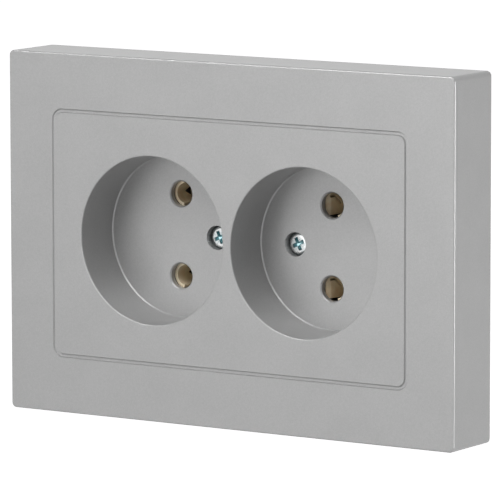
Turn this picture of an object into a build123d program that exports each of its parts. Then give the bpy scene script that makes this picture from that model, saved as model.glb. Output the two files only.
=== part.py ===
"""Double wall socket without earth contacts, for one flush box.

X runs to the right, Y into the wall and Z up. The origin is on the wall plane,
midway between the two box screws. The room side is the negative Y side.
All sizes are in millimetres.
"""
from build123d import *
import math
import os

os.makedirs("parts", exist_ok=True)

# Plug openings
pin_spacing = 19.0
pin_hole_radius = 2.9
pin_hole_chamfer = 0.3
well_spacing = 40.8
well_mouth_radius = 19.32
well_floor_radius = 19.03
well_depth = 12.3
well_wall = 1.6
well_rim = 0.3
well_rim_middle = 0.09
well_floor_ease = 0.25
floor_thickness = 1.6

# Cover moulding
cover_width = 119.4
cover_height = 83.4
cover_wall = 2.0
cover_front = 2.2
cover_corner_radius = 1.2
cover_edge_radius = 0.45
cover_inner_radius = 0.6
cover_rib_thickness = 1.2
cover_rib_clearance = 1.5

# Engraved frame line on the cover, measured along its middle
groove_width_x = 94.6
groove_height_z = 56.8
groove_width = 1.0
groove_slope = 35.0
groove_depth = 0.35
groove_corner_radius = 2.3

# Cover screws, M3 pan heads, and their brass inserts
cover_screw_spacing = 21.2
cover_screw_radius = 1.5
cover_screw_length = 10.0
cover_screw_head_radius = 2.55
cover_screw_head_height = 1.8
cover_screw_flat_radius = 1.3
cover_screw_crown = 0.9
cover_screw_sink = 1.25
cross_width = 3.1
cover_screw_hole_radius = 2.8
cover_boss_wall = 1.5
cover_boss_seat = 1.0
insert_radius = 2.5
insert_length = 8.0

# Steel mounting plate, rear face on the wall
plate_thickness = 1.0
plate_size = 71.0
plate_corner_cut = 9.0
plate_flange_length = 30.0
plate_flange_height = 2.5
plate_clearance = 0.9
box_screw_spacing = 60.0
box_slot_width = 3.8
box_slot_length = 7.0

# Insulating base
base_height = 47.0
base_edge_chamfer = 0.8
base_seat_width = 1.6
block_corner_radius = 2.0
chamber_wall = 1.0

# Brass contacts
sleeve_radius = 2.35
sleeve_wall = 0.65
sleeve_length = 9.5
sleeve_side = 0.4
notch_half_angle = 27.0
notch_length = 3.2
upper_notch_depth = 3.35
lower_notch_depth = 4.75
strap_width = 3.6
strap_root = 1.2
leaf_thickness = 0.5
leaf_width = 5.2
leaf_mouth_gap = 3.0
leaf_lip_gap = 2.8
leaf_lip_depth = 0.5
leaf_fold_depth = 1.2
leaf_fold_gap = 2.4
leaf_waist_gap = 1.75
leaf_waist_depth = 5.2
leaf_tail_depth = 10.4
tongue_slit = 0.42
tongue_height = 1.6
tongue_start = 0.9
tongue_corner = 2.6
tongue_end = 4.9
foot_thickness = 0.7
foot_width = 4.8
contact_length = 13.15
bar_thickness = 0.8
bar_width = 5.0
bar_corner_radius = 0.8
bar_bend_radius = 0.7
stud_radius = 1.0
stud_head_radius = 1.7
stud_head_flat_radius = 1.0
stud_head_height = 0.55
stud_head_edge = 0.28

# Wire terminals, one for each bar
terminal_x = 11.0
tab_height = 4.7
tab_length = 9.0
tab_width = 7.8
terminal_screw_radius = 1.75
terminal_head_radius = 3.2
terminal_head_height = 2.2
terminal_tip = 1.3
clamp_gap = 2.6
clamp_travel = 2.0
clamp_length = 7.0
clamp_thickness = 1.0
clamp_lip_thickness = 0.7
clamp_lip_depth = 1.0
clamp_corner_radius = 0.56
pocket_wall = 2.1
wire_spacing = 5.8
wire_hole_radius = 1.5
wire_funnel_radius = 2.3

# Spreading claws at the top and bottom of the base
claw_screw_radius = 1.75
claw_screw_end = 1.8
claw_head_radius = 3.2
claw_head_height = 2.2
claw_width = 7.0
claw_length = 17.8
claw_thickness = 1.5
claw_tooth_height = 2.6
claw_tooth_gap = 1.8
claw_pin_depth = 2.2
claw_pin_radius = 0.8
claw_eye_radius = 1.7
claw_drop = 5.5
claw_travel = 7.0
claw_swing = 20.0
claw_clearance = 0.35
nut_width = 7.2
nut_length = 4.5
nut_below = 2.6
nut_above = 3.3
nut_rest = 13.2
nut_nose_chamfer = 0.4
ear_thickness = 1.0
ear_depth = 4.0
ear_corner = 1.0

# Rivets that hold the base on the plate
rivet_x = 8.5
rivet_z = 19.0
rivet_radius = 1.5
rivet_head_radius = 2.4
rivet_head_height = 0.65
rivet_head_flat_radius = 1.45
rivet_head_edge = 0.26

# Fits
running_clearance = 0.05
press_clearance = 0.02
side_clearance = 0.3
cover_clearance = 0.2
mouth_clearance = 0.35
recess_width = 0.9
recess_depth = 1.1
screw_head_chamfer = 0.5
screw_point_chamfer = 0.45

# How far a cut runs past what it cuts, and how near a selected edge must lie
overrun = 1.0
near = 0.01

# Depths that follow from the sizes above
cover_depth = plate_thickness + plate_clearance + floor_thickness + well_depth
front_y = -cover_depth
floor_y = front_y + well_depth
floor_back_y = floor_y + floor_thickness
block_y = floor_back_y + cover_clearance
plate_y = -plate_thickness
head_top_y = floor_y + cover_screw_sink
head_seat_y = head_top_y + cover_screw_head_height
boss_end_y = head_seat_y + cover_boss_seat
insert_y = boss_end_y + side_clearance
mouth_y = floor_back_y + mouth_clearance
bar_y = mouth_y + contact_length
foot_y = bar_y - foot_thickness
bar_back_y = bar_y + bar_thickness
pocket_front_y = bar_y - side_clearance
pocket_back_y = bar_y + tab_length + side_clearance
base_depth = pocket_back_y + pocket_wall

# Places that follow from them
well_x = well_spacing / 2
pin_z = pin_spacing / 2
cover_screw_x = cover_screw_spacing / 2
boss_radius = cover_screw_hole_radius + cover_boss_wall
sleeve_outer = sleeve_radius + sleeve_wall
chamber_half_x = max(leaf_mouth_gap + leaf_thickness / 2, sleeve_outer) + side_clearance
chamber_half_z = max(leaf_width / 2, sleeve_outer) + side_clearance
block_half_x = well_x + chamber_half_x + chamber_wall
block_half_z = pin_z + chamber_half_z + chamber_wall
base_half_x = block_half_x + base_seat_width
base_radius = math.hypot(block_half_x, block_half_z)
bar_half_z = bar_width / 2
tab_z = pin_z + tab_height
tab_under_z = tab_z - bar_thickness
terminal_y = bar_y + tab_length / 2 + side_clearance
clamp_width = tab_width + 2 * (side_clearance + clamp_lip_thickness)
clamp_z = tab_z + clamp_gap
clamp_top_z = clamp_z + clamp_thickness
terminal_head_z = clamp_top_z + running_clearance
pocket_half_x = clamp_width / 2 + side_clearance
claw_pin_height = base_height / 2 + claw_eye_radius + cover_clearance
claw_screw_height = claw_pin_height - claw_drop
claw_notch_half_x = nut_width / 2 + side_clearance
claw_notch_z = claw_screw_height - nut_below - side_clearance
ear_x = claw_width / 2 + side_clearance


def room_plane(y):
    """Plane at depth y that faces the room, with X to the right and Z up."""
    return Plane.XZ.offset(-y)


def along_y(x, z):
    """Plane through a line parallel to Y, on which a turned profile is drawn."""
    return Plane(origin=(x, 0, z), x_dir=(1, 0, 0), z_dir=(0, 0, 1))


def cam_point(stroke, up):
    """Point of the claw's inner face that rides on the nut's nose, as it lies at rest."""
    turn = math.radians(claw_swing * stroke / claw_travel)
    nose_y = nut_rest - stroke - claw_pin_depth
    nose_z = nut_above - claw_drop
    y = nose_y * math.cos(turn) + nose_z * math.sin(turn)
    z = nose_z * math.cos(turn) - nose_y * math.sin(turn) + claw_clearance
    return (claw_pin_depth + y, up * (claw_pin_height + z))


def save(piece, name):
    """Label a finished piece and write it under the same name."""
    piece.part.label = name
    export_step(piece.part, f"parts/{name}.step")


# The cover is one moulding: a shallow box, open at the back, with two plug wells.
with BuildPart() as front_cover:
    with BuildSketch(room_plane(0)):
        RectangleRounded(cover_width, cover_height, cover_corner_radius)
    extrude(amount=cover_depth)
    front_edges = front_cover.faces().sort_by(Axis.Y)[0].edges()
    fillet(front_edges, cover_edge_radius)

    with BuildSketch(room_plane(0)):
        RectangleRounded(
            cover_width - 2 * cover_wall,
            cover_height - 2 * cover_wall,
            cover_inner_radius,
        )
    extrude(amount=cover_depth - cover_front, mode=Mode.SUBTRACT)

    # Stiffening ribs from the wells to the outer walls
    rib_back_y = plate_y - plate_flange_height - cover_rib_clearance
    rib_length_x = cover_width / 2 - cover_wall / 2 - well_x
    rib_length_z = cover_height / 2 - cover_wall / 2
    with BuildSketch(room_plane(rib_back_y)):
        for side in (-1, 1):
            with Locations((-well_x, side * rib_length_z / 2), (well_x, side * rib_length_z / 2)):
                Rectangle(cover_rib_thickness, rib_length_z)
            with Locations((side * (well_x + rib_length_x / 2), 0)):
                Rectangle(rib_length_x, cover_rib_thickness)
    extrude(amount=rib_back_y - front_y - cover_front / 2)

    # Well cups, with the draft that lets them leave the mould
    for x in (-well_x, well_x):
        with BuildSketch(along_y(x, 0)):
            with BuildLine():
                Polyline(
                    (0, front_y + cover_front / 2),
                    (well_mouth_radius + well_wall, front_y + cover_front / 2),
                    (well_floor_radius + well_wall, floor_back_y),
                    (0, floor_back_y),
                    close=True,
                )
            make_face()
        revolve(axis=Axis((x, 0, 0), (0, 1, 0)))
    with BuildSketch(room_plane(boss_end_y)):
        with Locations((-cover_screw_x, 0), (cover_screw_x, 0)):
            Circle(boss_radius)
    extrude(amount=boss_end_y - floor_back_y + floor_thickness / 2)
    for x in (-well_x, well_x):
        with BuildSketch(along_y(x, 0)):
            with BuildLine():
                Polyline(
                    (0, front_y),
                    (well_mouth_radius + well_rim, front_y),
                    (well_mouth_radius + well_rim_middle, front_y + well_rim_middle),
                    (well_mouth_radius, front_y + well_rim),
                    (well_floor_radius, floor_y - well_floor_ease),
                    (well_floor_radius - well_floor_ease, floor_y),
                    (0, floor_y),
                    close=True,
                )
            make_face()
        revolve(axis=Axis((x, 0, 0), (0, 1, 0)), mode=Mode.SUBTRACT)

    # Pin holes, eased at the floor, and the sunk holes for the cover screws
    with BuildSketch(room_plane(floor_back_y)):
        for x in (-well_x, well_x):
            with Locations((x, -pin_z), (x, pin_z)):
                Circle(pin_hole_radius)
    extrude(amount=floor_thickness, mode=Mode.SUBTRACT)
    pin_edges = front_cover.edges().filter_by(GeomType.CIRCLE).filter_by(
        lambda edge: abs(edge.radius - pin_hole_radius) < near
        and abs(edge.center().Y - floor_y) < near
    )
    chamfer(pin_edges, pin_hole_chamfer)
    with BuildSketch(room_plane(head_seat_y)):
        with Locations((-cover_screw_x, 0), (cover_screw_x, 0)):
            Circle(cover_screw_hole_radius)
    extrude(amount=head_seat_y - floor_y, mode=Mode.SUBTRACT)
    with BuildSketch(room_plane(boss_end_y)):
        with Locations((-cover_screw_x, 0), (cover_screw_x, 0)):
            Circle(cover_screw_radius + cover_clearance)
    extrude(amount=cover_boss_seat, mode=Mode.SUBTRACT)

    # Engraved frame line, with sloping sides
    with BuildSketch(room_plane(front_y)):
        RectangleRounded(
            groove_width_x + groove_width,
            groove_height_z + groove_width,
            groove_corner_radius + groove_width / 2,
        )
        RectangleRounded(
            groove_width_x - groove_width,
            groove_height_z - groove_width,
            groove_corner_radius - groove_width / 2,
            mode=Mode.SUBTRACT,
        )
    extrude(amount=-groove_depth, taper=groove_slope, mode=Mode.SUBTRACT)
save(front_cover, "front_cover")


# Each cover screw sits in its well floor and turns into an insert in the base.
for name, x in (("left", -cover_screw_x), ("right", cover_screw_x)):
    with BuildPart() as cover_screw:
        with BuildSketch(along_y(x, 0)):
            with BuildLine():
                dome_y = head_top_y + cover_screw_crown
                Line((0, head_top_y), (cover_screw_flat_radius, head_top_y))
                TangentArc(
                    (cover_screw_flat_radius, head_top_y),
                    (cover_screw_head_radius, dome_y),
                    tangent=(1, 0),
                )
                Polyline(
                    (cover_screw_head_radius, dome_y),
                    (cover_screw_head_radius, head_seat_y),
                    (cover_screw_radius, head_seat_y),
                    (cover_screw_radius, head_seat_y + cover_screw_length),
                    (0, head_seat_y + cover_screw_length),
                    (0, head_top_y),
                )
            make_face()
        revolve(axis=Axis((x, 0, 0), (0, 1, 0)))
        with BuildSketch(room_plane(head_top_y + recess_depth)):
            with Locations((x, 0)):
                Rectangle(cross_width, recess_width)
                Rectangle(recess_width, cross_width)
        extrude(amount=recess_depth, mode=Mode.SUBTRACT)
    save(cover_screw, f"cover_screw_{name}")

    with BuildPart() as insert:
        with BuildSketch(room_plane(insert_y + insert_length)):
            with Locations((x, 0)):
                Circle(insert_radius)
                Circle(cover_screw_radius + press_clearance, mode=Mode.SUBTRACT)
        extrude(amount=insert_length)
    save(insert, f"cover_insert_{name}")


# Pressed steel plate: window for the base, slots for the box screws, claw ears.
with BuildPart() as mounting_plate:
    with BuildSketch(room_plane(0)) as plate_outline:
        Rectangle(plate_size, plate_size)
        chamfer(plate_outline.vertices(), plate_corner_cut)
        RectangleRounded(
            2 * (block_half_x + side_clearance),
            2 * (block_half_z + side_clearance),
            block_corner_radius,
            mode=Mode.SUBTRACT,
        )
        with Locations((0, -box_screw_spacing / 2), (0, box_screw_spacing / 2)):
            SlotOverall(box_slot_length, box_slot_width, rotation=90, mode=Mode.SUBTRACT)
        with Locations((0, -claw_screw_height), (0, claw_screw_height)):
            Circle(claw_screw_radius + cover_clearance, mode=Mode.SUBTRACT)
        with Locations((-rivet_x, rivet_z), (rivet_x, -rivet_z)):
            Circle(rivet_radius + press_clearance, mode=Mode.SUBTRACT)
    extrude(amount=plate_thickness)

    # Stiffening flanges, bent forward along the top and bottom edges
    flange_z = plate_size / 2 - plate_thickness / 2
    with BuildSketch(room_plane(plate_y)):
        with Locations((0, -flange_z), (0, flange_z)):
            Rectangle(plate_flange_length, plate_thickness)
    extrude(amount=plate_flange_height)

    # Ears bent back into the box, which carry the claw pins
    for side in (-1, 1):
        for up in (-1, 1):
            with BuildSketch(Plane.YZ.offset(side * ear_x)):
                with BuildLine():
                    top_z = up * (claw_pin_height + claw_eye_radius)
                    low_z = up * (base_height / 2 + side_clearance)
                    Polyline(
                        (0, low_z),
                        (ear_depth - ear_corner, low_z),
                        (ear_depth, low_z + up * ear_corner),
                        (ear_depth, top_z - up * ear_corner),
                        (ear_depth - ear_corner, top_z),
                        (0, top_z),
                        close=True,
                    )
                make_face()
                with Locations((claw_pin_depth, up * claw_pin_height)):
                    Circle(claw_pin_radius + press_clearance, mode=Mode.SUBTRACT)
            extrude(amount=side * ear_thickness)
save(mounting_plate, "mounting_plate")


# The base is one moulding that fills the plate's window and hangs behind it.
with BuildPart() as base_housing:
    with BuildSketch(room_plane(base_depth)):
        Circle(base_radius)
        Rectangle(2 * base_half_x, base_height, mode=Mode.INTERSECT)
    extrude(amount=base_depth)
    chamfer(base_housing.faces().sort_by(Axis.Y)[-1].edges(), base_edge_chamfer)
    with BuildSketch(room_plane(0)):
        RectangleRounded(2 * block_half_x, 2 * block_half_z, block_corner_radius)
    extrude(amount=-block_y)

    # Contact chambers, joined by a trench for each bar
    with BuildSketch(room_plane(bar_back_y)):
        for z in (-pin_z, pin_z):
            with Locations((-well_x, z), (well_x, z)):
                Rectangle(2 * chamber_half_x, 2 * chamber_half_z)
            with Locations((0, z)):
                Rectangle(2 * well_x, bar_width + 2 * side_clearance)
    extrude(amount=bar_back_y - block_y, mode=Mode.SUBTRACT)

    # Sockets for the cover's screw bosses, with the insert bores below
    with BuildSketch(room_plane(insert_y)):
        with Locations((-cover_screw_x, 0), (cover_screw_x, 0)):
            Circle(boss_radius + side_clearance)
    extrude(amount=insert_y - block_y, mode=Mode.SUBTRACT)
    with BuildSketch(room_plane(insert_y + insert_length)):
        with Locations((-cover_screw_x, 0), (cover_screw_x, 0)):
            Circle(insert_radius + press_clearance)
    extrude(amount=insert_length, mode=Mode.SUBTRACT)
    screw_end_y = head_seat_y + cover_screw_length + side_clearance
    with BuildSketch(room_plane(screw_end_y)):
        with Locations((-cover_screw_x, 0), (cover_screw_x, 0)):
            Circle(cover_screw_radius + side_clearance)
    extrude(amount=screw_end_y - insert_y, mode=Mode.SUBTRACT)

    # Terminal pockets, open at the edge for the screwdriver
    for up in (-1, 1):
        pocket_x = up * terminal_x
        pocket_low_z = tab_under_z - side_clearance
        pocket_high_z = base_height / 2 + overrun
        with BuildSketch(room_plane(pocket_back_y)):
            with Locations((pocket_x, up * (pocket_low_z + pocket_high_z) / 2)):
                Rectangle(2 * pocket_half_x, pocket_high_z - pocket_low_z)
        extrude(amount=pocket_back_y - pocket_front_y, mode=Mode.SUBTRACT)

        # The way by which the tab of the bar comes in from the front
        slot_low_z = pin_z + bar_half_z
        slot_high_z = tab_z + side_clearance
        with BuildSketch(room_plane(bar_back_y)):
            with Locations((pocket_x, up * (slot_low_z + slot_high_z) / 2)):
                Rectangle(tab_width + 2 * side_clearance, slot_high_z - slot_low_z)
        extrude(amount=bar_back_y - block_y, mode=Mode.SUBTRACT)

        # Room for the tip of the terminal screw
        tip_depth = terminal_tip + clamp_travel + side_clearance
        with BuildSketch(Plane.XY.offset(up * pocket_low_z)):
            with Locations((pocket_x, terminal_y)):
                Circle(terminal_screw_radius + side_clearance)
        extrude(amount=-up * tip_depth, mode=Mode.SUBTRACT)

        # Two wire entries in the back, each with a funnel
        wire_z = up * (tab_z + clamp_gap / 2)
        for x in (pocket_x - wire_spacing / 2, pocket_x + wire_spacing / 2):
            funnel_depth = wire_funnel_radius - wire_hole_radius
            with BuildSketch(along_y(x, wire_z)):
                with BuildLine():
                    Polyline(
                        (0, pocket_back_y),
                        (wire_hole_radius, pocket_back_y),
                        (wire_hole_radius, base_depth - funnel_depth),
                        (wire_funnel_radius, base_depth),
                        (0, base_depth),
                        close=True,
                    )
                make_face()
            revolve(axis=Axis((x, 0, wire_z), (0, 1, 0)), mode=Mode.SUBTRACT)

    # Notches at the top and bottom for the claw screws and their nuts
    with BuildSketch(room_plane(base_depth)):
        notch_height = base_height / 2 + overrun - claw_notch_z
        for up in (-1, 1):
            with Locations((0, up * (claw_notch_z + notch_height / 2))):
                Rectangle(2 * claw_notch_half_x, notch_height)
    extrude(amount=base_depth, mode=Mode.SUBTRACT)

    # Bores for the rivets
    with BuildSketch(room_plane(base_depth)):
        with Locations((-rivet_x, rivet_z), (rivet_x, -rivet_z)):
            Circle(rivet_radius + press_clearance)
    extrude(amount=base_depth, mode=Mode.SUBTRACT)
save(base_housing, "base_housing")


# Two rivets go through the plate and the base.
for name, up in (("upper", 1), ("lower", -1)):
    with BuildPart() as rivet:
        x = -up * rivet_x
        z = up * rivet_z
        with BuildSketch(along_y(x, z)):
            with BuildLine():
                Polyline(
                    (0, plate_y - rivet_head_height),
                    (rivet_head_flat_radius, plate_y - rivet_head_height),
                    (rivet_head_radius, plate_y - rivet_head_edge),
                    (rivet_head_radius, plate_y),
                    (rivet_radius, plate_y),
                    (rivet_radius, base_depth),
                    (rivet_head_radius, base_depth),
                    (rivet_head_radius, base_depth + rivet_head_edge),
                    (rivet_head_flat_radius, base_depth + rivet_head_height),
                    (0, base_depth + rivet_head_height),
                    close=True,
                )
            make_face()
        revolve(axis=Axis((x, 0, z), (0, 1, 0)))
    save(rivet, f"plate_rivet_{name}")


# Each pole is a brass bar with a folded terminal tab and two formed studs.
for name, z, up in (("upper", pin_z, 1), ("lower", -pin_z, -1)):
    tab_x = up * terminal_x
    with BuildPart() as contact_bar:
        with BuildSketch(room_plane(bar_back_y)):
            with Locations((0, z)):
                RectangleRounded(2 * well_x + foot_width, bar_width, bar_corner_radius)
            with Locations((tab_x, z + up * tab_height / 2)):
                Rectangle(tab_width, tab_height)
        extrude(amount=bar_thickness)
        with BuildSketch(room_plane(bar_y + tab_length)):
            with Locations((tab_x, up * (tab_z - bar_thickness / 2))):
                Rectangle(tab_width, bar_thickness)
        extrude(amount=tab_length)
        outer_bend = contact_bar.edges().filter_by(Axis.X).filter_by(
            lambda edge: abs(edge.center().Y - bar_y) < near
            and abs(edge.center().Z - up * tab_z) < near
        )
        fillet(outer_bend, bar_bend_radius)
        with BuildSketch(Plane.XY.offset(up * tab_z)):
            with Locations((tab_x, terminal_y)):
                Circle(terminal_screw_radius + running_clearance)
        extrude(amount=-up * bar_thickness, mode=Mode.SUBTRACT)

        for x in (-well_x, well_x):
            with BuildSketch(along_y(x, z)):
                with BuildLine():
                    Polyline(
                        (0, bar_y),
                        (stud_radius, bar_y),
                        (stud_radius, foot_y),
                        (stud_head_radius, foot_y),
                        (stud_head_radius, foot_y - stud_head_edge),
                        (stud_head_flat_radius, foot_y - stud_head_height),
                        (0, foot_y - stud_head_height),
                        close=True,
                    )
                make_face()
            revolve(axis=Axis((x, 0, z), (0, 1, 0)))
    save(contact_bar, f"contact_bar_{name}")


# Each pin meets a half-round sleeve on its outer side and a leaf spring inside.
notches = (("upper", pin_z, upper_notch_depth), ("lower", -pin_z, lower_notch_depth))
for level, z, notch_depth in notches:
    for name, side in (("left", -1), ("right", 1)):
        x = side * well_x
        sleeve_end_y = mouth_y + sleeve_length
        with BuildPart() as clip:
            with BuildSketch(room_plane(sleeve_end_y)):
                with Locations((x, z)):
                    Circle(sleeve_radius + sleeve_wall)
                    Circle(sleeve_radius, mode=Mode.SUBTRACT)
                with Locations((x + side * (sleeve_side + sleeve_radius), z)):
                    Rectangle(2 * sleeve_radius, 3 * sleeve_radius, mode=Mode.INTERSECT)
            extrude(amount=sleeve_length)

            # Notch that lets the sleeve spring open
            tip_y = mouth_y + notch_depth
            spread = notch_length * math.tan(math.radians(notch_half_angle))
            with BuildSketch(Plane.YZ.offset(x)):
                with BuildLine():
                    Polyline(
                        (tip_y, z),
                        (tip_y + notch_length, z + spread),
                        (tip_y + notch_length, z - spread),
                        close=True,
                    )
                make_face()
            extrude(amount=side * 2 * sleeve_radius, mode=Mode.SUBTRACT)

            # Strap and riveted foot
            with BuildSketch(room_plane(bar_y)):
                with Locations((x + side * (sleeve_radius + sleeve_wall / 2), z)):
                    Rectangle(sleeve_wall, strap_width)
            extrude(amount=bar_y - sleeve_end_y + strap_root)
            with BuildSketch(room_plane(bar_y)):
                foot_in = leaf_fold_gap + leaf_thickness / 2
                with Locations((x + side * (sleeve_outer - foot_in) / 2, z)):
                    Rectangle(sleeve_outer + foot_in, foot_width)
            extrude(amount=foot_thickness)
            with BuildSketch(room_plane(bar_y)):
                with Locations((x, z)):
                    Circle(stud_radius + press_clearance)
            extrude(amount=foot_thickness, mode=Mode.SUBTRACT)

            # Leaf spring, folded twice at its mouth and bent in to a waist
            with BuildSketch(Plane.XY.offset(z - leaf_width / 2)):
                with BuildLine():
                    Polyline(
                        (x - side * leaf_mouth_gap, mouth_y),
                        (x - side * leaf_lip_gap, mouth_y + leaf_lip_depth),
                        (x - side * leaf_fold_gap, mouth_y + leaf_fold_depth),
                        (x - side * leaf_waist_gap, mouth_y + leaf_waist_depth),
                        (x - side * leaf_fold_gap, mouth_y + leaf_tail_depth),
                        (x - side * leaf_fold_gap, bar_y - foot_thickness / 2),
                    )
                trace(line_width=leaf_thickness)
            extrude(amount=leaf_width)

            # Slit around the leaf's springy tongue
            with BuildSketch(Plane.YZ.offset(x)):
                with BuildLine():
                    Polyline(
                        (mouth_y + tongue_start, z + tongue_height),
                        (mouth_y + tongue_corner, z + tongue_height),
                        (mouth_y + tongue_end, z - tongue_slit),
                    )
                trace(line_width=tongue_slit)
            extrude(amount=-side * (leaf_mouth_gap + leaf_thickness), mode=Mode.SUBTRACT)
        save(clip, f"contact_clip_{level}_{name}")


# In each terminal a screw presses a saddle clamp onto the wires on the tab.
for name, up in (("upper", 1), ("lower", -1)):
    x = up * terminal_x
    with BuildPart() as clamp:
        with BuildSketch(Plane.XY.offset(up * clamp_z)):
            with Locations((x, terminal_y)):
                Rectangle(clamp_width, clamp_length)
                Circle(terminal_screw_radius + cover_clearance, mode=Mode.SUBTRACT)
        extrude(amount=up * clamp_thickness)
        with BuildSketch(Plane.XY.offset(up * clamp_z)):
            lip_x = (clamp_width - clamp_lip_thickness) / 2
            with Locations((x - lip_x, terminal_y), (x + lip_x, terminal_y)):
                Rectangle(clamp_lip_thickness, clamp_length)
        extrude(amount=-up * clamp_lip_depth)
        top_edges = clamp.edges().filter_by(Axis.Y).filter_by(
            lambda edge: abs(edge.center().Z - up * clamp_top_z) < near
        )
        fillet(top_edges, clamp_corner_radius)
    save(clamp, f"terminal_clamp_{name}")

    with BuildPart() as terminal_screw:
        shank_end = up * (tab_under_z - terminal_tip)
        head_low = up * terminal_head_z
        head_high = up * (terminal_head_z + terminal_head_height)
        with BuildSketch(Plane(origin=(x, terminal_y, 0), x_dir=(1, 0, 0), z_dir=(0, -1, 0))):
            with BuildLine():
                Polyline(
                    (0, shank_end),
                    (terminal_screw_radius - screw_point_chamfer, shank_end),
                    (terminal_screw_radius, shank_end + up * screw_point_chamfer),
                    (terminal_screw_radius, head_low),
                    (terminal_head_radius, head_low),
                    (terminal_head_radius, head_high - up * screw_head_chamfer),
                    (terminal_head_radius - screw_head_chamfer, head_high),
                    (0, head_high),
                    close=True,
                )
            make_face()
        revolve(axis=Axis((x, terminal_y, 0), (0, 0, 1)))
        with BuildSketch(Plane.XY.offset(head_high)):
            with Locations((x, terminal_y)):
                Rectangle(2 * (terminal_head_radius + overrun), recess_width)
        extrude(amount=-up * recess_depth, mode=Mode.SUBTRACT)
    save(terminal_screw, f"terminal_screw_{name}")


# A claw screw draws its nut forward, and the nut swings the toothed claw outward.
for name, up in (("top", 1), ("bottom", -1)):
    screw_z = up * claw_screw_height
    screw_head_y = plate_y - running_clearance
    screw_tip_y = nut_rest + nut_length + claw_screw_end
    with BuildPart() as claw_screw:
        with BuildSketch(along_y(0, screw_z)):
            with BuildLine():
                Polyline(
                    (0, screw_head_y - claw_head_height),
                    (claw_head_radius - screw_head_chamfer, screw_head_y - claw_head_height),
                    (claw_head_radius, screw_head_y - claw_head_height + screw_head_chamfer),
                    (claw_head_radius, screw_head_y),
                    (claw_screw_radius, screw_head_y),
                    (claw_screw_radius, screw_tip_y - screw_point_chamfer),
                    (claw_screw_radius - screw_point_chamfer, screw_tip_y),
                    (0, screw_tip_y),
                    close=True,
                )
            make_face()
        revolve(axis=Axis((0, 0, screw_z), (0, 1, 0)))
        with BuildSketch(room_plane(screw_head_y - claw_head_height)):
            with Locations((0, screw_z)):
                Rectangle(2 * (claw_head_radius + overrun), recess_width)
        extrude(amount=-recess_depth, mode=Mode.SUBTRACT)
    save(claw_screw, f"claw_screw_{name}")

    with BuildPart() as claw_nut:
        nut_middle = screw_z + up * (nut_above - nut_below) / 2
        with BuildSketch(room_plane(nut_rest + nut_length)):
            with Locations((0, nut_middle)):
                Rectangle(nut_width, nut_above + nut_below)
            with Locations((0, screw_z)):
                Circle(claw_screw_radius + running_clearance, mode=Mode.SUBTRACT)
        extrude(amount=nut_length)
        nose = claw_nut.edges().filter_by(Axis.X).filter_by(
            lambda edge: abs(edge.center().Y - nut_rest) < near
            and up * edge.center().Z > claw_screw_height + nut_above - near
        )
        chamfer(nose, nut_nose_chamfer)
    save(claw_nut, f"claw_nut_{name}")

    with BuildPart() as claw:
        cam = [cam_point(share * claw_travel, up) for share in (1, 0.5, 0)]
        back = [(y, z + up * claw_thickness) for y, z in cam]
        tooth_y = claw_pin_depth + claw_length
        tooth_root_z = up * (claw_pin_height - claw_thickness)
        pin_z_here = up * claw_pin_height
        with BuildSketch(Plane.YZ.offset(-claw_width / 2)):
            with BuildLine():
                Polyline(
                    back[0],
                    (claw_pin_depth, pin_z_here),
                    (claw_pin_depth, pin_z_here - up * claw_eye_radius),
                    cam[0],
                )
                ThreePointArc(*cam)
                Polyline(
                    cam[2],
                    (tooth_y - claw_thickness / 2, tooth_root_z),
                    (tooth_y, up * (claw_pin_height + claw_tooth_height)),
                    (tooth_y - claw_thickness, tooth_root_z + up * claw_thickness),
                    back[2],
                )
                ThreePointArc(*back[::-1])
            make_face()
            with Locations((claw_pin_depth, pin_z_here)):
                Circle(claw_eye_radius)
                Circle(claw_pin_radius + running_clearance, mode=Mode.SUBTRACT)
        extrude(amount=claw_width)

        # Gaps that leave three teeth across the end of the claw
        with BuildSketch(room_plane(tooth_y + overrun)):
            gap_top_z = pin_z_here + up * (claw_tooth_height + running_clearance)
            gap_root_z = pin_z_here + up * (claw_tooth_height - claw_tooth_gap)
            for x in (-claw_width / 6, claw_width / 6):
                with BuildLine():
                    Polyline(
                        (x - claw_tooth_gap / 2, gap_top_z),
                        (x + claw_tooth_gap / 2, gap_top_z),
                        (x, gap_root_z),
                        close=True,
                    )
                make_face()
        extrude(amount=claw_thickness + overrun, mode=Mode.SUBTRACT)
    save(claw, f"claw_{name}")

    with BuildPart() as claw_pin:
        pin_end_x = ear_x + ear_thickness
        with BuildSketch(Plane.YZ.offset(-pin_end_x)):
            with Locations((claw_pin_depth, up * claw_pin_height)):
                Circle(claw_pin_radius)
        extrude(amount=2 * pin_end_x)
    save(claw_pin, f"claw_pin_{name}")
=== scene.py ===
# %% [markdown]
# # A double wall socket, finished for its picture
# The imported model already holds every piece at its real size: the cover, the screws,
# the steel plate, the base and the brass contacts. This notebook gives those pieces
# their finishes, makes the small fasteners again with real threads and drive recesses,
# and sets up the camera, the light and a pale floor.

# %% Load the frame
import math
from itertools import pairwise

import bmesh
import bpy
from mathutils import Matrix, Vector


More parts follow.
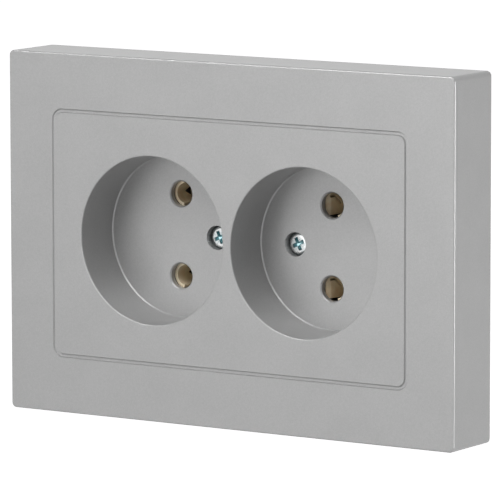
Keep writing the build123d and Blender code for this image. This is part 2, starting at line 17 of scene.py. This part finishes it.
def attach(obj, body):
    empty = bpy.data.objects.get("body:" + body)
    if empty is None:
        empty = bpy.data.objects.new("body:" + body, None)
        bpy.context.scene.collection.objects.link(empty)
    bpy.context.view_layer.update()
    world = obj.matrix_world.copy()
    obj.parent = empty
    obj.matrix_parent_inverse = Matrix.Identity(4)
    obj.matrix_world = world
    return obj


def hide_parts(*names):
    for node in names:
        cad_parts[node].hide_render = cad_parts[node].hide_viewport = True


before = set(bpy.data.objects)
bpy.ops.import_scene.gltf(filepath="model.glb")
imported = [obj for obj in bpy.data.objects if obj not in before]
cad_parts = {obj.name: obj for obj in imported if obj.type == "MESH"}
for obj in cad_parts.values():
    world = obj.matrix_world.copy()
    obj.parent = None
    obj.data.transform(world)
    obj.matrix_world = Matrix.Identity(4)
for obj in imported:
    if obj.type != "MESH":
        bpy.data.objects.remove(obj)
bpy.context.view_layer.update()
MM = 0.001

# %% [markdown]
# ## Camera
# The picture is taken with a long lens from the right and a little above. Its place was
# fitted to the corners of the cover and the rims of the wells. A camera can be placed by
# eye, by a Track To constraint or by its own three axes. The axes are used here, because
# the fit gives exactly those: a heading round the object, a tilt, a distance and a small
# step aside.

# %% Camera from its heading and tilt
camera_heading = math.radians(32.867)
camera_tilt = math.radians(7.572)
camera_roll = math.radians(-0.083)
camera_distance = 1206.73 * MM
camera_aside = -3.234 * MM
camera_rise = -2.398 * MM
picture_width = 500
focal_pixels = 5294.84
sensor_width = 36.0

back = Vector(
    (
        math.sin(camera_heading) * math.cos(camera_tilt),
        -math.cos(camera_heading) * math.cos(camera_tilt),
        math.sin(camera_tilt),
    )
)
level_right = Vector((math.cos(camera_heading), math.sin(camera_heading), 0))
level_up = back.cross(level_right)
right = level_right * math.cos(camera_roll) + level_up * math.sin(camera_roll)
up = level_up * math.cos(camera_roll) - level_right * math.sin(camera_roll)
place = back * camera_distance + level_right * camera_aside + level_up * camera_rise

camera_data = bpy.data.cameras.new("camera")
camera_data.sensor_width = sensor_width
camera_data.lens = focal_pixels / picture_width * sensor_width
camera_data.clip_start = 0.05
camera_data.clip_end = 20
camera = bpy.data.objects.new("camera", camera_data)
bpy.context.scene.collection.objects.link(camera)
axes = Matrix((right, up, back)).transposed().to_4x4()
camera.matrix_world = Matrix.Translation(place) @ axes
bpy.context.scene.camera = camera
print("lens", round(camera_data.lens, 1), "mm")

# %% [markdown]
# ## Wiring shaders
# A material is a small graph of nodes, and most of its nodes only do sums. Adding each
# one by hand hides the idea behind the sum. So one class wraps a socket and lets Python's
# own signs add the Math nodes. A second class holds a graph and adds any other node: its
# settings go in first, then the values or links of its sockets. A third one is a material
# with a few things that every finish here needs.


# %% A socket that can be added, subtracted and multiplied
class Wire:
    """The value of one socket. Arithmetic on it adds the Math nodes for the sum."""

    def __init__(self, graph, socket):
        self.graph = graph
        self.socket = socket

    def math(self, operation, *terms):
        sockets = dict(enumerate(terms))
        return self.graph.node("ShaderNodeMath", {"operation": operation}, sockets)

    def __add__(self, other):
        return self.math("ADD", self, other)

    def __sub__(self, other):
        return self.math("SUBTRACT", self, other)

    def __rsub__(self, other):
        return self.math("SUBTRACT", other, self)

    def __mul__(self, other):
        return self.math("MULTIPLY", self, other)

    def above(self, low, high):
        """0 below low, 1 above high, and straight between them."""
        settings = {"clamp": True}
        sockets = {"Value": self, "From Min": low, "From Max": high}
        return self.graph.node("ShaderNodeMapRange", settings, sockets)

    __radd__ = __add__
    __rmul__ = __mul__


# %% A graph that adds its nodes
class Graph:
    """The nodes of a material or of the world."""

    def __init__(self, tree):
        self.tree = tree

    def node(self, kind, settings=None, sockets=None, output=0):
        """Adds a node: its settings first, then its sockets' values or links."""
        node = self.tree.nodes.new(kind)
        for key, value in (settings or {}).items():
            setattr(node, key, value)
        for key, value in (sockets or {}).items():
            if isinstance(value, Wire):
                self.tree.links.new(value.socket, node.inputs[key])
            else:
                node.inputs[key].default_value = value
        if node.outputs:
            return Wire(self, node.outputs[output])
        return None


# %% A material with one Principled shader
class Finish(Graph):
    """A material whose nodes end in one Principled shader."""

    def __init__(self, name, **constants):
        self.material = bpy.data.materials.new(name)
        self.material.use_nodes = True
        super().__init__(self.material.node_tree)
        self.shader = self.tree.nodes["Principled BSDF"]
        for socket, value in constants.items():
            self.shader.inputs[socket.replace("_", " ")].default_value = value

    def feed(self, socket, wire):
        self.tree.links.new(wire.socket, self.shader.inputs[socket])

    def place(self):
        """The point's place on its own piece, in metres."""
        return self.node("ShaderNodeTexCoord", output="Object")

    def millimetres(self):
        """The X, Y and Z of that place, in millimetres."""
        where = self.place()
        return [
            self.node("ShaderNodeSeparateXYZ", None, {0: where}, output=axis) * (1 / MM)
            for axis in range(3)
        ]

    def noise(self, grain, detail=2.0, rough=0.5, stretch=None):
        """Cloudy noise from 0 to 1, whose blobs are about grain metres across."""
        where = self.place()
        if stretch:
            settings = {"operation": "MULTIPLY"}
            where = self.node("ShaderNodeVectorMath", settings, {0: where, 1: stretch})
        sockets = {"Vector": where, "Scale": 1 / grain}
        sockets.update({"Detail": detail, "Roughness": rough})
        return self.node("ShaderNodeTexNoise", None, sockets)

    def mix(self, share, one, other):
        """One colour turning into the other as share goes from 0 to 1."""
        sockets = {0: share, 6: one, 7: other}
        return self.node("ShaderNodeMix", {"data_type": "RGBA"}, sockets, output=2)

    def relief(self, height, depth, strength=1.0):
        """Bump from a height of 0 to 1 that stands for depth metres."""
        sockets = {"Height": height, "Distance": depth, "Strength": strength}
        self.feed("Normal", self.node("ShaderNodeBump", None, sockets))


def grey(level):
    """A neutral colour for a Mix socket."""
    return (level, level, level, 1)


# %% [markdown]
# ## The cover's satin paint
# The cover is a plastic moulding sprayed with aluminium-grey paint. Close up the paint is
# not one grey: flakes of metal lie in it at all angles, so it has a fine mottle, and the
# spray leaves a faint orange-peel skin. A photograph of paint could be wrapped round the
# cover, but it would blur when seen closely and would need a map. Noise in the shader has
# no seams and holds at every distance, so two noises are used: fine flakes for colour and
# roughness, and a softer one for the skin.
#
# The spray gun only reaches the outside. Behind, the bare plastic shows, duller and even.
# The sprayed part could be painted on by hand as a mask. It is also simply the part near
# the outer box, or inside the wells, so the mask is worked out from the point's place.

# %% Where the spray gun reaches
cover_half_width, cover_half_height = 59.7, 41.7
skin_thickness = 0.8
sprayed_front_y = -14.6
well_half_spacing = 20.4
sprayed_well_radius = 19.7
sprayed_well_y = -2.1
spray_fade = 0.15


def in_skin(reach, half_size):
    """1 in the outer half of the skin, from the distance to the cover's middle."""
    return reach.above(half_size - skin_thickness, half_size - skin_thickness / 2)


def short_of(border, reach):
    """1 up to a border and 0 beyond it, with the soft edge that a spray leaves."""
    return 1 - reach.above(border, border + spray_fade)


def sprayed(paint):
    """1 where the spray gun reaches the cover, 0 on its back and inside."""
    x, y, z = paint.millimetres()
    across = x.math("ABSOLUTE", x)
    upward = z.math("ABSOLUTE", z)
    side = in_skin(across, cover_half_width)
    edge = in_skin(upward, cover_half_height)
    front = short_of(sprayed_front_y, y)
    off_axis = across - well_half_spacing
    from_axis = off_axis.math("SQRT", off_axis * off_axis + z * z)
    well = short_of(sprayed_well_radius, from_axis) * short_of(sprayed_well_y, y)
    outer = side.math("MAXIMUM", side, edge)
    open_side = front.math("MAXIMUM", front, well)
    return outer.math("MAXIMUM", outer, open_side)


# %% Satin paint
def satin_paint():
    paint = Finish("satin_paint", IOR=1.45)
    flakes = paint.noise(0.28 * MM, detail=3.0, rough=0.7)
    clouds = paint.noise(9 * MM, detail=2.0)
    share = flakes * 0.8 + clouds * 0.2
    tone = share.above(0.32, 0.68)
    coat = sprayed(paint)
    metal = paint.mix(tone, grey(0.375), grey(0.445))
    bare = paint.mix(tone, grey(0.3), grey(0.33))
    paint.feed("Base Color", paint.mix(coat, bare, metal))
    paint.feed("Metallic", coat * 0.35)
    paint.feed("Roughness", 0.46 - coat * 0.17 + flakes.above(0.3, 0.7) * 0.08)
    skin = paint.noise(0.55 * MM, detail=2.0) * 0.7 + flakes * 0.3
    paint.relief(skin, 0.012 * MM, 0.5)
    return paint.material


cover_paint = satin_paint()
print(cover_paint.name, len(cover_paint.node_tree.nodes), "nodes")

# %% [markdown]
# ## Base, plate and brass
# Behind the cover the finishes are plain workshop ones. The base is a dark thermoset
# moulding with a matt, slightly grainy skin. The plate is galvanised steel, whose zinc
# grows in large pale crystals with fine rolling marks under them. The contacts are rolled
# brass, bright along the grain and a little brown where they have been handled. A dull
# film lies over brass that has stood in air, so its Metallic is low: in the narrow pin
# holes a bare metal would have only the dark to reflect, and the photograph shows tan.

# %% Dark moulded plastic
def moulded_base():
    plastic = Finish("moulded_base", IOR=1.5)
    skin = plastic.noise(0.35 * MM, detail=3.0, rough=0.6)
    flow = plastic.noise(14 * MM, detail=1.0)
    tone = flow.above(0.35, 0.65)
    plastic.feed("Base Color", plastic.mix(tone, grey(0.08), grey(0.105)))
    plastic.feed("Roughness", 0.42 + skin * 0.2)
    plastic.relief(skin, 0.02 * MM, 0.6)
    return plastic.material


# %% Galvanised steel
def galvanised_steel():
    steel = Finish("galvanised_steel", Metallic=1.0)
    sockets = {"Vector": steel.place(), "Scale": 1 / (3.5 * MM)}
    spangle = steel.node("ShaderNodeTexVoronoi", None, sockets, output="Color")
    split = steel.node("ShaderNodeSeparateColor", None, {"Color": spangle})
    rolling = steel.noise(0.25 * MM, detail=2.0, stretch=(1.0, 1.0, 0.06))
    tone = split * 0.6 + rolling * 0.4
    steel.feed("Base Color", steel.mix(tone, grey(0.42), (0.58, 0.6, 0.62, 1)))
    steel.feed("Roughness", 0.3 + split * 0.16 + rolling * 0.08)
    steel.relief(rolling, 0.01 * MM, 0.4)
    return steel.material


# %% Rolled brass
def rolled_brass():
    brass = Finish("rolled_brass", Metallic=0.2)
    grain = brass.noise(0.3 * MM, detail=2.0, stretch=(1.0, 0.08, 1.0))
    stain = brass.noise(2.6 * MM, detail=3.0)
    tone = stain.above(0.45, 0.75)
    bright = (0.98, 0.86, 0.64, 1)
    brown = (0.88, 0.68, 0.46, 1)
    brass.feed("Base Color", brass.mix(tone, bright, brown))
    brass.feed("Roughness", 0.34 + grain * 0.2)
    brass.relief(grain, 0.01 * MM, 0.4)
    return brass.material


base_plastic = moulded_base()
plate_steel = galvanised_steel()
contact_brass = rolled_brass()
for finish in (base_plastic, plate_steel, contact_brass):
    print(finish.name, len(finish.node_tree.nodes), "nodes")

# %% [markdown]
# ## Zinc and aluminium fasteners
# The screws, nuts, claws and clamps are zinc plated. A clear blue passivation lies over
# the zinc, so the metal is bright and a touch cold, with a faint unevenness from the
# plating bath. In a screw's recess, and a little on the crown around it, the colour turns a
# darker blue-grey. A second material on the recess's faces would have a hard border. So
# that colour follows the depth below the crown instead, and on the crown the distance from
# the screw's axis. The rivets are plain aluminium, a little duller. These are whole metals:
# their colour is what they reflect, so Metallic is 1 and all the variety is in the colour
# and in the roughness.

# %% Zinc plating
crown_skin, recess_skin = 0.12, 0.55
tint_radius, tint_end_radius = 0.8, 1.7
seat_edge, seat_end = 0.1, 0.3


def zinc_plating(name, crown=None):
    """Zinc, for a screw whose crown lies crown millimetres over its seat, or plain."""
    zinc = Finish(name, Metallic=1.0)
    bath = zinc.noise(1.1 * MM, detail=3.0, rough=0.6)
    scuffs = zinc.noise(0.12 * MM, detail=2.0)
    tone = bath.above(0.35, 0.65)
    cold = (0.48, 0.51, 0.52, 1)
    clear = (0.7, 0.7, 0.69, 1)
    color = zinc.mix(tone, cold, clear)
    if crown:
        # The colour turns a darker blue-grey with depth in the recess, and a little on the
        # crown around it.
        blue = (0.27, 0.44, 0.47, 1)
        x, y, height = zinc.millimetres()
        from_axis = x.math("SQRT", x * x + y * y)
        below = 1 - height.above(crown - recess_skin, crown - crown_skin)
        near = 1 - from_axis.above(tint_radius, tint_end_radius)
        around = near * bath.above(0.35, 0.6) * 0.6
        head = height.above(seat_edge, seat_end)
        recess_tint = head * below.math("MAXIMUM", below, around)
        color = zinc.mix(recess_tint * 0.9, color, blue)
    zinc.feed("Base Color", color)
    zinc.feed("Roughness", 0.2 + scuffs * 0.16)
    zinc.relief(scuffs * 0.5 + bath * 0.5, 0.006 * MM, 0.5)
    return zinc.material


# %% Aluminium
def rivet_aluminium():
    metal = Finish("rivet_aluminium", Metallic=1.0)
    hammering = metal.noise(0.5 * MM, detail=2.0)
    tone = hammering.above(0.3, 0.7)
    metal.feed("Base Color", metal.mix(tone, grey(0.6), grey(0.72)))
    metal.feed("Roughness", 0.32 + hammering * 0.14)
    metal.relief(hammering, 0.012 * MM, 0.5)
    return metal.material


cover_head_height = 1.8
slotted_head_height = 2.2
plain_zinc = zinc_plating("plain_zinc")
cover_screw_zinc = zinc_plating("cover_screw_zinc", cover_head_height)
slotted_screw_zinc = zinc_plating("slotted_screw_zinc", slotted_head_height)
rivet_metal = rivet_aluminium()
for finish in (plain_zinc, cover_screw_zinc, slotted_screw_zinc, rivet_metal):
    print(finish.name, len(finish.node_tree.nodes), "nodes")

# %% [markdown]
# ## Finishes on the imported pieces
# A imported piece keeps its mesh, and only its material slot is filled anew. The record
# names a slot for each piece, so one table from slot to finish dresses them all.

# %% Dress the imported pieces
finish_of_slot = {
    "cover": cover_paint,
    "base": base_plastic,
    "plate": plate_steel,
    "brass": contact_brass,
    "rivet": rivet_metal,
    "screw": plain_zinc,
}
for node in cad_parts.values():
    for held in node.material_slots:
        held.material = finish_of_slot[held.material.name.split(".")[0]]
print("dressed", len(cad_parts), "pieces")

# %% [markdown]
# ## Turned pieces
# Screws and rivets are made from wire: cold-headed in a die, then rolled to a thread.
# They could be stacked from cylinders and cones, but the joins would show. A turned
# outline, swept once round its axis, gives the whole blank with its rounded edges. The
# drive recess is then cut into it with a Boolean, as the punch presses it into the head.
# Every outline is a list of (radius, height) pairs, in millimetres, from tip to crown.


# %% A lathe
on_axis = 1e-6


def lathe(outline, steps=72):
    """A closed turned body round Z, from its (radius, height) outline in millimetres."""
    body = bmesh.new()
    rings = []
    for radius, height in outline:
        if radius < on_axis:
            rings.append([body.verts.new((0, 0, height * MM))])
            continue
        ring = []
        for step in range(steps):
            turn = math.tau * step / steps
            spot = (radius * math.cos(turn), radius * math.sin(turn), height)
            ring.append(body.verts.new(Vector(spot) * MM))
        rings.append(ring)
    for low, high in pairwise(rings):
        for step in range(steps):
            after = (step + 1) % steps
            corners = [low[step % len(low)], low[after % len(low)]]
            corners += [high[after % len(high)], high[step % len(high)]]
            unique = list(dict.fromkeys(corners))
            if len(unique) > 2:
                body.faces.new(unique)
    bmesh.ops.recalc_face_normals(body, faces=body.faces)
    return body


# %% A rounded corner for an outline
def rounded(radius, height, inward, down, steps):
    """(radius, height) points of a shoulder, from the side up to the flat top."""
    points = []
    for step in range(steps + 1):
        turn = math.pi / 2 * step / steps
        out = radius - inward * (1 - math.cos(turn))
        points.append((out, height - down * (1 - math.sin(turn))))
    return points


# %% From a mesh in the making to an object
crease = math.radians(35)


def piece_from(name, body, material):
    """Makes an object of a bmesh: smooth all over, but for the edges that bend sharply."""
    for face in body.faces:
        face.smooth = True
    for edge in body.edges:
        edge.smooth = edge.calc_face_angle(0) < crease
    mesh = bpy.data.meshes.new(name)
    body.to_mesh(mesh)
    body.free()
    mesh.materials.append(material)
    piece = bpy.data.objects.new(name, mesh)
    bpy.context.scene.collection.objects.link(piece)
    return piece


# %% Cut one body out of another
def cut(body, cutter):
    """Cuts cutter out of body with a Boolean. Both are meshes in the making."""
    held = piece_from("blank", body, plain_zinc)
    tool = piece_from("cutter", cutter, plain_zinc)
    boolean = held.modifiers.new("cut", "BOOLEAN")
    boolean.object = tool
    boolean.solver = "EXACT"
    graph = bpy.context.evaluated_depsgraph_get()
    result = bmesh.new()
    result.from_mesh(held.evaluated_get(graph).data)
    for spent in (held, tool):
        mesh = spent.data
        bpy.data.objects.remove(spent)
        bpy.data.meshes.remove(mesh)
    return result


# %% [markdown]
# ## Drive recesses
# The cover screws take a cross driver whose flanks are nearly parallel, and four fine
# lines between its wings mark it. The claw and terminal screws are turned with a flat
# blade. Each recess is a cutter: a star outline that narrows with depth for the cross, and
# a plain bar for the slot.


# %% Cross and slot cutters
over_crown = 0.4
tip_share = 1.25


def cross_cutter(reach, wing, depth, crown):
    """A four-winged cutter from above the crown down to its depth, all in millimetres."""
    body = bmesh.new()
    # Each level has its height and the shares of the reach and of the wing that it keeps.
    levels = ((crown + over_crown, 1.0, 1.0), (crown - depth, 0.62, 0.8))
    rings = []
    for height, reach_share, wing_share in levels:
        half = wing / 2 * wing_share
        far = reach * reach_share
        ring = []
        for quarter in range(4):
            turn = Matrix.Rotation(quarter * math.pi / 2, 3, "Z")
            for x, y in ((half, half), (far, half), (far, -half)):
                ring.append(body.verts.new(turn @ Vector((x, -y, height)) * MM))
        rings.append(ring)
    top, bottom = rings
    count = len(top)
    for step in range(count):
        after = (step + 1) % count
        body.faces.new((top[step], top[after], bottom[after], bottom[step]))
    body.faces.new(top)
    tip = body.verts.new((0, 0, (crown - depth * tip_share) * MM))
    for step in range(count):
        body.faces.new((bottom[step], bottom[(step + 1) % count], tip))
    bmesh.ops.recalc_face_normals(body, faces=body.faces)
    return body


def bar_cutter(length, width, low, high, turn=0.0, start=0.0):
    """A straight bar from start along X turned about Z, for a slot or a fine line."""
    body = bmesh.new()
    bmesh.ops.create_cube(body, size=1)
    middle = Vector((start + length / 2, 0, (low + high) / 2)) * MM
    size = Vector((length, width, high - low)) * MM
    bmesh.ops.scale(body, vec=size, verts=body.verts)
    bmesh.ops.translate(body, vec=middle, verts=body.verts)
    spin = Matrix.Rotation(turn, 3, "Z")
    bmesh.ops.rotate(body, cent=(0, 0, 0), matrix=spin, verts=body.verts)
    return body


# %% [markdown]
# ## Rolled threads
# A thread is one ridge wound round the shank. A bump map could draw it, but its outline
# would stay straight. Here the ridge is a real strip of mesh: each step goes a little
# round the axis and a little along it, and the strip of one turn meets the strip of the
# next. The ridge sinks into the core at both ends, as a rolled thread runs out. Its foot
# lies a little below the core's surface, so that no gap opens between them.


# %% A wound thread
core_depth_share = 0.5
thread_depth_share = 0.54
run_out_turns = 0.75
weld_distance = 0.002 * MM
# The ridge's outline over one pitch: the share of the pitch, and the share of the depth.
ridge = ((0.0, 0.0), (0.12, 0.0), (0.44, 1.0), (0.56, 1.0), (0.88, 0.0), (1.0, 0.0))


def thread(radius, pitch, low, high, steps=40):
    """A thread round Z between two heights, on a core of its root radius."""
    depth = pitch * thread_depth_share
    turns = (high - low) / pitch - 1
    count = int(turns * steps)
    body = bmesh.new()
    last = None
    for step in range(count + 1):
        turn = math.tau * step / steps
        grown = min(1.0, min(step, count - step) / (steps * run_out_turns))
        line = []
        for along, rise in ridge:
            out = radius - depth * (1 - rise * grown)
            height = low + pitch * (step / steps + along)
            spot = Vector((out * math.cos(turn), out * math.sin(turn), height))
            line.append(body.verts.new(spot * MM))
        if last:
            for (low_back, high_back), (low_ahead, high_ahead) in zip(
                pairwise(last), pairwise(line)
            ):
                body.faces.new((low_back, low_ahead, high_ahead, high_back))
        last = line
    bmesh.ops.remove_doubles(body, verts=body.verts, dist=weld_distance)
    bmesh.ops.recalc_face_normals(body, faces=body.faces)
    return body


def core_under(radius, pitch):
    """The radius of the shank that carries a thread."""
    return radius - pitch * core_depth_share


def joined(*bodies):
    """Several meshes in the making as one."""
    whole = bmesh.new()
    for body in bodies:
        mesh = bpy.data.meshes.new("part")
        body.to_mesh(mesh)
        body.free()
        whole.from_mesh(mesh)
        bpy.data.meshes.remove(mesh)
    return whole


# %% [markdown]
# ## Putting a fastener in its place
# Each fastener is made upright on Z and then laid along its real axis. It takes the place
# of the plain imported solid, rides on the same body and keeps the same outer sizes.


# %% Lay a fastener along its axis
def lay(piece, seat, outward, node, body):
    """Puts the piece's origin at seat, in millimetres, with its crown pointing outward."""
    turn = Vector(outward).to_track_quat("Z", "Y").to_matrix().to_4x4()
    piece.matrix_world = Matrix.Translation(Vector(seat) * MM) @ turn
    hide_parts(node)
    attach(piece, body)
    print(piece.name, len(piece.data.polygons), "faces")


into_room = (0, -1, 0)

# %% [markdown]
# ## Cover screws
# One small pan-head screw stands in each well floor and holds the cover to the base. Its
# crown lies a little below the floor, so it shows as a bright disc in a dark ring.

# %% Cover screws
cover_screw_radius = 1.5
cover_screw_length = 10.0
cover_screw_pitch = 0.5
cover_head_radius = 2.55
cover_head_crown = 0.62
cover_head_flat_share = 0.66
cover_head_edge = 0.15
cover_tip_length, cover_tip_share = 0.4, 0.7
cover_thread_to_tip, cover_thread_to_head = 0.3, 0.2
cross_reach, cross_wing, cross_depth = 1.72, 0.92, 1.15
mark_start, mark_length, mark_width, mark_depth = 0.95, 0.75, 0.16, 0.1
cover_seat_y = -0.45
cover_screw_half_spacing = 10.6
cover_screw_turn = math.radians(24)


def cover_screw(name):
    inward = cover_head_radius * (1 - cover_head_flat_share)
    crown = rounded(cover_head_radius, cover_head_height, inward, cover_head_crown, steps=8)
    core = core_under(cover_screw_radius, cover_screw_pitch)
    outline = [
        (0, -cover_screw_length),
        (core * cover_tip_share, -cover_screw_length),
        (core, -cover_screw_length + cover_tip_length),
        (core, 0),
        (cover_head_radius - cover_head_edge, 0),
        (cover_head_radius, cover_head_edge),
        *crown,
        (0, cover_head_height),
    ]
    cross = cross_cutter(cross_reach, cross_wing, cross_depth, cover_head_height)
    blank = cut(lathe(outline), cross)
    for quarter in range(4):
        turn = math.pi / 4 + quarter * math.pi / 2
        low, high = cover_head_height - mark_depth, cover_head_height + over_crown
        blank = cut(blank, bar_cutter(mark_length, mark_width, low, high, turn, mark_start))
    low = cover_thread_to_tip - cover_screw_length
    wound = thread(cover_screw_radius, cover_screw_pitch, low, -cover_thread_to_head)
    return piece_from(name, joined(blank, wound), cover_screw_zinc)


for side, sign in (("left", -1), ("right", 1)):
    screw = cover_screw(f"cover_screw_{side}_made")
    screw.data.transform(Matrix.Rotation(cover_screw_turn, 4, "Z"))
    seat = (sign * cover_screw_half_spacing, cover_seat_y, 0)
    lay(screw, seat, into_room, f"cover_screw_{side}", "socket")

# %% [markdown]
# ## Claw and terminal screws
# These are slotted screws with a slightly rounded cylinder head. The claw screws are long
# and draw their nuts towards the room. The terminal screws are short and press the clamp
# on the wire.

# %% Slotted screws
slotted_radius = 1.75
slotted_pitch = 0.6
slotted_head_radius = 3.2
slotted_head_corner = 0.55
slotted_head_edge = 0.12
slot_width = 0.9
slot_depth = 1.1
slot_length = 8
slot_headroom = 1
tip_slope, thread_tip_share = 0.6, 0.5
slotted_thread_to_head = 0.15
claw_screw_length, claw_tip_length = 20.55, 0.5
claw_screw_y, claw_screw_z = -1.05, 19.9
terminal_screw_length, terminal_tip_length = 5.75, 0.4
terminal_screw_x, terminal_screw_y, terminal_screw_z = 11, 16.4, 17.85


def slotted_screw(name, length, tip):
    core = core_under(slotted_radius, slotted_pitch)
    corner = slotted_head_corner
    crown = rounded(slotted_head_radius, slotted_head_height, corner, corner, steps=6)
    outline = [
        (0, -length),
        (core - tip * tip_slope, -length),
        (core, tip - length),
        (core, 0),
        (slotted_head_radius - slotted_head_edge, 0),
        (slotted_head_radius, slotted_head_edge),
        *crown,
        (0, slotted_head_height),
    ]
    low, high = slotted_head_height - slot_depth, slotted_head_height + slot_headroom
    slot = bar_cutter(slot_length, slot_width, low, high, start=-slot_length / 2)
    blank = cut(lathe(outline), slot)
    low = tip * thread_tip_share - length
    wound = thread(slotted_radius, slotted_pitch, low, -slotted_thread_to_head)
    return piece_from(name, joined(blank, wound), slotted_screw_zinc)


for end, up in (("top", 1), ("bottom", -1)):
    screw = slotted_screw(f"claw_screw_{end}_made", claw_screw_length, claw_tip_length)
    seat = (0, claw_screw_y, up * claw_screw_z)
    lay(screw, seat, into_room, f"claw_screw_{end}", f"spread_screw_{end}")
for level, up in (("upper", 1), ("lower", -1)):
    name = f"terminal_screw_{level}"
    screw = slotted_screw(f"{name}_made", terminal_screw_length, terminal_tip_length)
    seat = (up * terminal_screw_x, terminal_screw_y, up * terminal_screw_z)
    lay(screw, seat, (0, 0, up), name, f"wire_screw_{level}")

# %% [markdown]
# ## Rivets
# Two solid rivets hold the base on the plate. The made head is a low dome, and the closed
# head at the back was spun down by the press, so it has a small dimple.

# %% Rivets
rivet_radius = 1.5
rivet_head_radius = 2.4
rivet_head_height = 0.65
dimple_depth = 0.18
dimple_radius_share = 0.45
rivet_x, rivet_z = 8.5, 19.0
plate_front_y = -1.0
base_back_y = 23.0


def dome(dimple=0.0):
    """(radius, height) points of a rivet's low head from its rim to its crown."""
    radius, height = rivet_head_radius, rivet_head_height
    points = []
    for out, rise in rounded(radius, height, radius, height, steps=8):
        dip = dimple * max(0.0, 1 - (out / (radius * dimple_radius_share)) ** 2)
        points.append((out, rise - dip))
    points[-1] = (0, height - dimple)
    return points


def rivet(name):
    length = base_back_y - plate_front_y
    closed = [(out, -length - rise) for out, rise in dome(dimple_depth)]
    outline = [*reversed(closed), (rivet_radius, -length), (rivet_radius, 0), *dome()]
    return piece_from(name, lathe(outline), rivet_metal)


for level, up in (("upper", 1), ("lower", -1)):
    pin = rivet(f"plate_rivet_{level}_made")
    seat = (-up * rivet_x, plate_front_y, up * rivet_z)
    lay(pin, seat, into_room, f"plate_rivet_{level}", "socket")

# %% [markdown]
# ## Floor and background
# The picture needs a plain white ground. Turning the lamps up until a floor burns out
# would burn the object too. Instead the floor gives off light of its own, on top of what
# it reflects, and only the camera, mirrors and glass see it. Near the object it gives off
# a little less than white, so that it keeps the object's soft shadow, and farther off it
# is all white. The world does the same: white for those rays, and a quiet grey as a light.

# %% What the camera sees of the ground
floor_height = -0.16
floor_size = 6.0
shadow_reach = 0.3
white_reach = 0.55
shadow_ground = 0.82


def background_rays(graph):
    """1 for a ray from the camera itself, or by way of a mirror or glass."""
    camera_ray, mirror_ray, through_ray = [
        graph.node("ShaderNodeLightPath", output=f"Is {kind} Ray")
        for kind in ("Camera", "Glossy", "Transmission")
    ]
    seen = camera_ray.math("MAXIMUM", camera_ray, mirror_ray)
    return seen.math("MAXIMUM", seen, through_ray)


def floor_finish():
    ground = Finish("pale_floor", Roughness=0.9)
    grain = ground.noise(60 * MM, detail=2.0)
    ground.feed("Base Color", ground.mix(grain, grey(0.81), grey(0.83)))
    settings, sockets = {"operation": "LENGTH"}, {0: ground.place()}
    from_middle = ground.node("ShaderNodeVectorMath", settings, sockets, output=1)
    far = from_middle.above(shadow_reach, white_reach)
    glow = ground.mix(far, grey(shadow_ground), grey(1.0))
    ground.feed("Emission Color", ground.mix(background_rays(ground), grey(0.0), glow))
    ground.shader.inputs["Emission Strength"].default_value = 1.0
    return ground.material


sheet = bmesh.new()
bmesh.ops.create_grid(sheet, x_segments=1, y_segments=1, size=floor_size / 2)
floor = piece_from("floor", sheet, floor_finish())
floor.location = (0, 0, floor_height)
print("floor", floor_size, "m wide, at", round(floor_height / MM), "mm")

# %% World
world = bpy.data.worlds.new("studio")
bpy.context.scene.world = world
world.use_nodes = True
world.node_tree.nodes.clear()
air = Graph(world.node_tree)
world_light = 0.02

quiet, white = [
    air.node("ShaderNodeBackground", None, {"Color": grey(1.0), "Strength": strength})
    for strength in (world_light, 1.0)
]
seen_or_lit = {0: background_rays(air), 1: quiet, 2: white}
either = air.node("ShaderNodeMixShader", None, seen_or_lit)
air.node("ShaderNodeOutputWorld", None, {"Surface": either})
print("world nodes:", len(world.node_tree.nodes))

# %% [markdown]
# ## Lamps
# The walls of the wells that face right are dark, although the cover's right side is
# light. So the main light comes from the front, a little to the left, and one more large
# lamp stands on the right, somewhat behind the cover's front. Large lamps give slow
# gradients and soft edges of shade. Two smaller ones hang close by, above the front, so
# that their light fades down the cover as it does in the picture. The last two are small.
# They add little to the flat faces, but the eased rims of the wells and the pin holes
# mirror one of them as a fine bright line, and the upper edge of the front the other.

# %% Soft boxes
def soft_box(name, heading, rise, distance, size, power):
    """A square lamp, turned and raised from the front in degrees, aimed at the cover."""
    data = bpy.data.lights.new(name, "AREA")
    data.size = size
    data.energy = power
    lamp = bpy.data.objects.new(name, data)
    bpy.context.scene.collection.objects.link(lamp)
    turn, lift = math.radians(heading), math.radians(rise)
    spot = Vector((math.sin(turn), -math.cos(turn), math.tan(lift))).normalized() * distance
    aim = (-spot).to_track_quat("-Z", "Y").to_matrix().to_4x4()
    lamp.matrix_world = Matrix.Translation(spot) @ aim
    print(name, [round(value, 3) for value in spot])


# Each lamp has its name, heading and rise, distance and size in metres, and watts.
for lamp_values in (
    ("front_box", -10, 5, 1.0, 0.6, 1.8),
    ("close_left_box", -20, 40, 0.35, 0.2, 0.2),
    ("close_top_box", 0, 50, 0.35, 0.2, 0.44),
    ("side_box", 100, -15, 1.0, 0.6, 12.4),
    ("glint_box", 39, 46, 1.0, 0.14, 0.55),
    ("edge_box", -45, 41, 1.0, 0.14, 1.15),
):
    soft_box(*lamp_values)

bpy.context.scene.view_settings.view_transform = "Standard"
